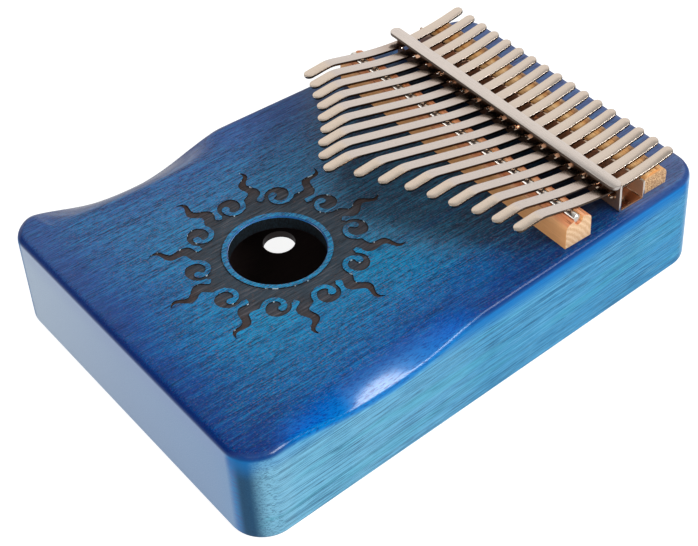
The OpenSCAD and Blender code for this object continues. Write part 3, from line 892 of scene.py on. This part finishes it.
# marching squares: corner code of a cell -> (edge in, edge out);
# edges are 0 low y, 1 high x, 2 high y, 3 low x
CELL_EDGES = {
    1: [(3, 0)], 2: [(0, 1)], 3: [(3, 1)], 4: [(1, 2)], 6: [(0, 2)], 7: [(3, 2)],
    8: [(2, 3)], 9: [(2, 0)], 11: [(2, 1)], 12: [(1, 3)], 13: [(1, 0)], 14: [(0, 3)],
    5: [(3, 0), (1, 2)], 10: [(0, 1), (2, 3)]}


def contours(field, origin, step):
    """Closed loops of the zero line of a square grid field whose x and y start at origin."""
    inside = field < 0
    code = (inside[:-1, :-1] * 1 + inside[:-1, 1:] * 2 + inside[1:, 1:] * 4 + inside[1:, :-1] * 8)
    following, places = {}, {}

    def grid_edge(i, j, edge):
        return (("h", i, j), ("v", i, j + 1), ("h", i + 1, j), ("v", i, j))[edge]

    def crossing(key):
        kind, i, j = key
        here = field[i, j]
        if kind == "h":
            f = here / (here - field[i, j + 1])
            return (origin + (j + f) * step, origin + i * step)
        f = here / (here - field[i + 1, j])
        return (origin + j * step, origin + (i + f) * step)

    for i, j in np.argwhere((code > 0) & (code < 15)):
        for edges in CELL_EDGES[int(code[i, j])]:
            start, end = (grid_edge(i, j, edge) for edge in edges)
            following[start] = end
            for key in (start, end):
                if key not in places:
                    places[key] = crossing(key)
    loops, seen = [], set()
    for key in list(following):
        if key in seen:
            continue
        loop = []
        while key not in seen:
            seen.add(key)
            loop.append(places[key])
            key = following[key]
        if len(loop) > 12:
            loops.append(loop)
    return loops


def thin_loop(loop, gap):
    """Smooths a loop a little and drops points closer than gap, keeping tight turns."""
    points = np.array(loop)
    for _ in range(2):
        points = 0.5 * points + 0.25 * (np.roll(points, 1, 0) + np.roll(points, -1, 0))
    kept = [points[0]]
    for k in range(1, len(points)):
        back = points[k] - kept[-1]
        length = math.hypot(*back)
        if length < 0.12:
            continue
        ahead = points[(k + 1) % len(points)] - points[k]
        cross = abs(back[0] * ahead[1] - back[1] * ahead[0])
        turn = cross / max(length * math.hypot(*ahead), 1e-9)
        if length > gap or turn * length > 0.03:
            kept.append(points[k])
    return [tuple(point) for point in kept]


def sun_tool():
    step, half, sunk = 0.22, 44.0, 0.45      # grid step and half size; depth of the pattern
    grid = -half + np.arange(int(2 * half / step) + 1) * step
    field = sun_field(*np.meshgrid(grid, grid))
    loops = [thin_loop(loop, gap=0.75) for loop in contours(field, -half, step)]
    loops = [loop for loop in loops if len(loop) > 8]
    points = [point for loop in loops for point in loop]
    count = len(points)
    verts = [(x, y + HOLE_Y, z) for z in (HEIGHT - sunk, HEIGHT + 1.0) for x, y in points]
    faces = []
    for a, b, c in tessellate_polygon([[Vector((x, y, 0)) for x, y in loop] for loop in loops]):
        faces.append((c, b, a))
        faces.append((a + count, b + count, c + count))
    base = 0
    for loop in loops:
        for j in range(len(loop)):
            here, after = base + j, base + (j + 1) % len(loop)
            faces.append((here, after, after + count, here + count))
        base += len(loop)
    return new_object("sun_tool", (verts, faces), BODY_MATERIALS, CHARRED_SLOT)


def hole_tool():
    # (radius, height above the top)
    profile = [(HOLE_R, -9.0), (HOLE_R, -0.55), (15.86, -0.3), (16.05, -0.1), (16.3, 0.0),
               (16.9, 0.6), (16.9, 1.0)]
    verts, faces = turned([(r, HEIGHT + z) for r, z in profile], 0.0, HOLE_Y, 128)
    slots = [INSIDE_SLOT if max(verts[k][2] for k in face) <= HEIGHT - 0.5 else STAINED_SLOT
             for face in faces]
    return new_object("hole_tool", (verts, faces), BODY_MATERIALS, slots)


# ------------------------------------------------------------------ box and back plate
CHAMBER_WALL, CHAMBER_REAR = 12.0, 26.0
REBATE_WALL, REBATE_REAR, PLATE_THICK = 9.0, 29.0, 3.0
PLATE_GAP = 0.12


def make_body():
    body = build_body()
    chamber = prism(inset_outline(CHAMBER_WALL, CHAMBER_REAR), 2.9, HEIGHT - 5.0)
    cut(body, new_object("chamber_tool", chamber, BODY_MATERIALS, INSIDE_SLOT))
    rebate = prism(inset_outline(REBATE_WALL, REBATE_REAR), -1.0, PLATE_THICK)
    cut(body, new_object("rebate_tool", rebate, BODY_MATERIALS, INSIDE_SLOT))
    cut(body, hole_tool())
    cut(body, sun_tool())
    for x in SCREW_XS:
        drill = turned([(1.5, HEIGHT - 12.0), (1.5, HEIGHT + 2.0)], x, SCREW_Y, 32)
        cut(body, new_object("drill_tool", drill, BODY_MATERIALS, INSIDE_SLOT))
    tidy(body, 30.0)
    install(body, "body_shell")


def make_back_plate():
    """Plate let into the rebate with a thin gap, with two holes with a broken edge."""
    outline = inset_outline(REBATE_WALL + PLATE_GAP, REBATE_REAR - PLATE_GAP)
    plate = new_object("vis_back_plate", prism(outline, 0.0, PLATE_THICK), [BACK])
    hole = ((5.95, -0.6), (5.95, 0.0), (5.65, 0.3), (5.65, 3.6))     # (radius, z)
    for x in (-34.0, 34.0):
        cut(plate, new_object("plate_hole_tool", turned(hole, x, -12.0, 64), [BACK]))
    tidy(plate, 30.0)
    install(plate, "back_plate")


make_body()
make_back_plate()


# ------------------------------------------------------------------ profiles run along x
def round_polygon(points, radii, steps=6):
    """A polygon with each corner rounded by its own radius."""
    rounded = []
    for k, radius in enumerate(radii):
        corner = Vector(points[k])
        back = (Vector(points[k - 1]) - corner).normalized()
        ahead = (Vector(points[(k + 1) % len(points)]) - corner).normalized()
        angle = back.angle(ahead)
        trim = radius / math.tan(angle / 2)
        centre = corner + (back + ahead).normalized() * (radius / math.sin(angle / 2))
        start, end = corner + back * trim - centre, corner + ahead * trim - centre
        sign = 1 if start.x * end.y - start.y * end.x > 0 else -1
        for j in range(steps + 1):
            turn = sign * (math.pi - angle) * j / steps
            cos, sin = math.cos(turn), math.sin(turn)
            rounded.append((centre.x + start.x * cos - start.y * sin,
                            centre.y + start.x * sin + start.y * cos))
    return rounded


def shrink(points, inset):
    """A closed polygon moved inward."""
    here = np.array(points)
    after = np.roll(here, -1, 0)
    edges = after - here
    lengths = np.linalg.norm(edges, axis=1)[:, None]
    normals = np.stack([edges[:, 1], -edges[:, 0]], 1) / np.maximum(lengths, 1e-9)
    before = np.roll(normals, 1, 0)
    area = 0.5 * np.sum(here[:, 0] * after[:, 1] - after[:, 0] * here[:, 1])
    sign = -1 if area > 0 else 1
    spread = np.maximum((1 + (normals * before).sum(1))[:, None], 0.35)
    return [tuple(point) for point in here + sign * inset * ((normals + before) / spread)]


def bar_along_x(name, profile, piece, material, ease, steps=24):
    """A (y, z) profile run over the x range of a CAD piece, its ends eased."""
    (left, _, _), (right, _, _) = box_mm(piece)
    ends = [(0.0, shrink(profile, ease)), (ease * 0.3, shrink(profile, ease * 0.3)),
            (ease, profile)]
    stations = [(left + inset, outline) for inset, outline in ends]
    stations += [(left + ease + (right - left - 2 * ease) * j / steps, profile)
                 for j in range(1, steps)]
    stations += [(right - inset, outline) for inset, outline in ends[::-1]]
    rings = [[(x, y, z) for y, z in outline] for x, outline in stations]
    return new_object(name, loft(rings), [material])


# ------------------------------------------------------------------ bridges and rod
def make_front_bridge():
    groove_r = 1.56
    groove = []
    for j in range(13):
        angle = math.radians(202 + 136 * j / 12)
        groove.append((ROD_Y + groove_r * math.cos(angle), ROD_Z + groove_r * math.sin(angle)))
    # (y, z): up the rear, over the top and its groove, down the front
    profile = [(34.25, HEIGHT), (45.0, HEIGHT), (45.0, 44.2), (43.7, 45.5), (42.2, 46.12),
               (41.35, 46.18)]
    profile += groove[::-1]
    profile += [(37.65, 46.05), (36.9, 45.98), (36.1, 45.85), (35.3, 45.5), (34.7, 44.95),
                (34.38, 44.2), (34.28, 43.2)]
    bridge = bar_along_x("vis_front_bridge", profile, "front_bridge", FRONT_BRIDGE, ease=0.3)
    install(bridge, "front_bridge")


def make_rear_bridge():
    crest = key_line(74.6) - KEY_THICK - 0.31
    profile = [(70.05, HEIGHT), (80.7, HEIGHT), (80.9, 40.6), (80.5, 41.7)]
    # (y, depth below the crest), from rear to front
    profile += [(y, crest - drop) for y, drop in (
        (79.6, 1.75), (78.4, 1.1), (77.2, 0.5), (76.2, 0.16), (75.2, 0.01), (74.2, 0.02),
        (73.2, 0.22), (72.2, 0.6), (71.3, 1.15), (70.6, 1.75), (70.2, 2.4))]
    bridge = bar_along_x("vis_rear_bridge", profile, "rear_bridge", REAR_BRIDGE, ease=0.35)
    install(bridge, "rear_bridge")


def make_rod():
    (left, _, _), (right, _, _) = box_mm("bridge_rod")
    ends = ((0.0, 1.12), (0.12, 1.36), (0.34, ROD_R))    # (distance from the end, radius)
    stations = [(left + inset, r) for inset, r in ends]
    stations += [(right - inset, r) for inset, r in ends[::-1]]
    turns = [2 * math.pi * k / 40 for k in range(40)]
    rings = [[(x, ROD_Y + r * math.cos(a), ROD_Z + r * math.sin(a)) for a in turns]
             for x, r in stations]
    rod = new_object("vis_bridge_rod", loft(rings), [ROD_STEEL])
    install(rod, "bridge_rod")


make_front_bridge()
make_rear_bridge()
make_rod()


# ------------------------------------------------------------------ bracket, bar and screws
def window_shape(x, half=2.35, sill=42.55):
    """Tool for the window one key passes through, round at the bottom."""
    lintel = key_line(BRACKET_FRONT + SHEET / 2) + 0.25
    outline = [(x - half, lintel), (x - half, sill)]
    for j in range(1, 14):
        angle = math.pi + math.pi * j / 14
        outline.append((x + half * math.cos(angle), sill + half * math.sin(angle)))
    outline += [(x + half, sill), (x + half, lintel)]
    return loft([[(across, y, z) for across, z in outline]
                 for y in (BRACKET_FRONT - 1.0, BRACKET_FRONT + SHEET + 1.0)])


def make_bracket():
    """Bent sheet trough, with its taller front wall pierced by a window for each key."""
    rear_top = key_line(BRACKET_REAR) - KEY_THICK - 0.37
    floor_top = HEIGHT + SHEET
    points = [(BRACKET_FRONT, BRACKET_TOP), (BRACKET_FRONT, HEIGHT),
              (BRACKET_REAR, HEIGHT), (BRACKET_REAR, rear_top),
              (BRACKET_REAR - SHEET, rear_top), (BRACKET_REAR - SHEET, floor_top),
              (BRACKET_FRONT + SHEET, floor_top), (BRACKET_FRONT + SHEET, BRACKET_TOP)]
    profile = round_polygon(points, [0.15, 1.3, 1.3, 0.15, 0.15, 0.5, 0.5, 0.15])
    bracket = bar_along_x("vis_tine_bracket", profile, "tine_bracket", BRACKET_STEEL,
                          ease=0.12, steps=4)
    windows = merge([window_shape(key_x(i)) for i in KEYS])
    cut(bracket, new_object("window_tool", windows, [BRACKET_STEEL]))
    tidy(bracket, 34.0)
    install(bracket, "tine_bracket")


def make_pressure_bar():
    """Flat bar with round ends and eased edges."""
    (left, front, bottom), (right, rear, top) = box_mm("pressure_bar")
    centre_y, radius = (front + rear) / 2, (rear - front) / 2

    def outline(inset, z):
        ring = []
        for x, first in ((right - radius, -90), (left + radius, 90)):
            for j in range(17):
                angle = math.radians(first + 180 * j / 16)
                ring.append((x + (radius - inset) * math.cos(angle),
                             centre_y + (radius - inset) * math.sin(angle), z))
        return ring

    easing = ((0.16, 0.0), (0.05, 0.04), (0.0, 0.16))    # (inset, distance from the face)
    rings = [outline(inset, bottom + rise) for inset, rise in easing]
    rings += [outline(inset, top - fall) for inset, fall in easing[::-1]]
    bar = new_object("vis_pressure_bar", loft(rings), [BAR_STEEL])
    install(bar, "pressure_bar")


def make_screws():
    head_top = box_mm("bracket_screws")[1][2]
    # (radius, z) from the point to the top of the head
    profile = [(r, HEIGHT + z) for r, z in (
        (0.45, -10.6), (1.35, -9.0), (1.4, -0.2), (1.4, 0.9), (2.55, 0.9), (2.7, 1.05),
        (2.7, 1.6), (2.5, 2.1))]
    profile += [(2.0, head_top - 0.08), (1.3, head_top)]
    shapes = [turned(profile, x, SCREW_Y, 48) for x in SCREW_XS]
    screws = new_object("vis_bracket_screws", merge(shapes), [SCREW_STEEL])
    # cross recess: half width and half length of its arms, then (scale, z)
    half, arm = 0.28, 1.45
    cross = [(half, half), (half, arm), (-half, arm), (-half, half), (-arm, half), (-arm, -half),
             (-half, -half), (-half, -arm), (half, -arm), (half, -half), (arm, -half), (arm, half)]
    levels = ((0.35, head_top - 1.2), (1.0, head_top - 0.5), (1.0, head_top + 0.5))
    recesses = merge([loft([[(x + dx * scale, SCREW_Y + dy * scale, z) for dx, dy in cross]
                            for scale, z in levels]) for x in SCREW_XS])
    cut(screws, new_object("cross_tool", recesses, [SCREW_STEEL]))
    tidy(screws, 34.0)
    install(screws, "bracket_screws")


make_bracket()
make_pressure_bar()
make_screws()


# ------------------------------------------------------------------ keys
KEY_EASE = 0.17                              # rounding of a key's long edges
END_STATIONS = [0.0, 0.04, 0.12, 0.26, 0.48, 0.78, 1.15, 1.55, 1.95]


def key_ring(y, tip, rear, x_centre):
    """Section of a key, square to its top line, narrowing to round ends."""
    half = KEY_WIDTH / 2
    inset = min(y - tip, rear - y)
    if inset < half:
        width = math.sqrt(max(half * half - max(half - inset, 0.0) ** 2, 0.0))
    else:
        width = half
    width = max(width, 0.34)
    thick = KEY_THICK
    if inset <= KEY_EASE:
        round_off = math.sqrt(max(KEY_EASE * KEY_EASE - (KEY_EASE - inset) ** 2, 0.0))
        thick -= 1.3 * (KEY_EASE - round_off)
    z = key_top(y, tip)
    slope = (key_top(y + 0.05, tip) - key_top(y - 0.05, tip)) / 0.1
    length = math.hypot(1, slope)
    normal_y, normal_z = -slope / length, 1 / length
    ease = min(KEY_EASE, width * 0.6, thick * 0.45)
    across, up = width - ease, thick / 2 - ease
    ring = []
    for corner_x, corner_up, first in ((across, up, 0), (-across, up, 90),
                                       (-across, -up, 180), (across, -up, 270)):
        for j in range(4):
            angle = math.radians(first + 30 * j)
            lift = corner_up + ease * math.sin(angle) - KEY_THICK / 2
            ring.append((x_centre + (corner_x + ease * math.cos(angle)),
                         y + normal_y * lift, z + normal_z * lift))
    return ring


def make_key(i):
    tip, rear, x = tip_y(i), rear_y(i), key_x(i)
    stations = [tip + inset for inset in END_STATIONS]
    y = tip + 2.6
    while y < rear - 2.3:
        stations.append(y)
        y += 0.55 if y < tip + 13.5 else 1.6
    stations += [rear - inset for inset in END_STATIONS[::-1]]
    name = "key_%02d" % i
    rings = [key_ring(y, tip, rear, x) for y in stations]
    key = new_object("vis_" + name, loft(rings), [KEY_STEEL], sharp=40.0)
    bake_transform(key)
    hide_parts(name + "_root", name + "_tongue")


for i in KEYS:
    make_key(i)


# ------------------------------------------------------------------ floor and world (metres)
def make_floor():
    """Pale floor that looks brighter to the camera than it lights the object."""
    mat = Shader("floor_white")
    cloud = mat.noise(per_mm=(0.02, 0.02, 0.02), detail=2.0, rough=0.5)
    camera_ray = mat.node("LightPath").outputs["Is Camera Ray"]
    material = mat.finish(
        Base_Color=mat.mix(cloud, (0.33, 0.33, 0.33, 1), (0.36, 0.36, 0.36, 1)), Roughness=0.9,
        Specular_IOR_Level=0.0, Emission_Color=(1, 1, 1, 1),
        Emission_Strength=mat.linear(camera_ray, base=0.30, gain=0.60))
    half, z = 6, -0.0002
    mesh = bpy.data.meshes.new("floor")
    mesh.from_pydata([(-half, -half, z), (half, -half, z), (half, half, z), (-half, half, z)],
                     [], [(0, 1, 2, 3)])
    mesh.materials.append(material)
    floor = bpy.data.objects.new("floor", mesh)
    scene.collection.objects.link(floor)


def make_world():
    """Near-white surroundings, brighter to the camera than as light."""
    world = bpy.data.worlds.new("studio")
    scene.world = world
    world.use_nodes = True
    tree = world.node_tree
    background = tree.nodes["Background"]
    background.inputs["Color"].default_value = (1.0, 0.995, 0.985, 1)
    path = tree.nodes.new("ShaderNodeLightPath")
    strength = tree.nodes.new("ShaderNodeMapRange")
    strength.inputs["To Min"].default_value = 0.40
    strength.inputs["To Max"].default_value = 1.05
    tree.links.new(path.outputs["Is Camera Ray"], strength.inputs["Value"])
    tree.links.new(strength.outputs[0], background.inputs["Strength"])


make_floor()
make_world()


# ------------------------------------------------------------------ lights and camera (metres)
def area(name, place, aim, size, power, color=(1, 1, 1)):
    light = bpy.data.lights.new(name, "AREA")
    light.shape = "RECTANGLE"
    light.size, light.size_y = size
    light.energy = power
    light.color = color
    ob = bpy.data.objects.new(name, light)
    ob.location = place
    ob.rotation_euler = (Vector(aim) - Vector(place)).to_track_quat("-Z", "Y").to_euler()
    scene.collection.objects.link(ob)
    return ob


area("key_light", place=(0.80, -0.80, 0.70), aim=(0, 0, 0.02), size=(0.7, 0.7), power=2.6,
     color=(1.0, 0.985, 0.96))
area("front_fill", place=(-0.15, -1.20, 0.35), aim=(0, 0, 0.03), size=(0.8, 0.5), power=2.4)
# the strip and the glint show only as reflections, the strip fill never does
strip = area("strip_light", place=(0.685, 0.300, 0.640), aim=(0.06, -0.05, 0.03),
             size=(0.66, 0.23), power=8.4)
strip.visible_diffuse = False
glint = area("tip_glint", place=(-0.74, -0.96, 0.20), aim=(0, 0, 0.04), size=(0.50, 0.22),
             power=1.1)
glint.visible_diffuse = False
fill = area("strip_fill", place=(0.715, 0.265, 0.605), aim=(0.06, -0.05, 0.03),
            size=(0.66, 0.20), power=7.2)
fill.visible_glossy = False
area("metal_card", place=(-0.80, 0.72, 0.56), aim=(0, 0.02, 0.045), size=(1.6, 1.25), power=3.6,
     color=(1.0, 0.965, 0.93))


def make_camera():
    data = bpy.data.cameras.new("camera")
    data.sensor_width = 36.0
    data.lens = 91.05
    camera = bpy.data.objects.new("camera", data)
    place = Vector((0.35147, -0.25275, 0.41104))
    # directions of the view's right, its down, and into the view
    right = Vector((0.60999956, 0.79079529, -0.05043160))
    down = Vector((0.51939228, -0.44708879, -0.72824671))
    look = Vector((-0.59844146, 0.41803639, -0.68345694))
    turn = Matrix((right, -down, -look)).transposed().to_4x4()
    camera.matrix_world = Matrix.Translation(place) @ turn
    scene.collection.objects.link(camera)
    scene.camera = camera


make_camera()
scene.view_settings.view_transform = "Standard"
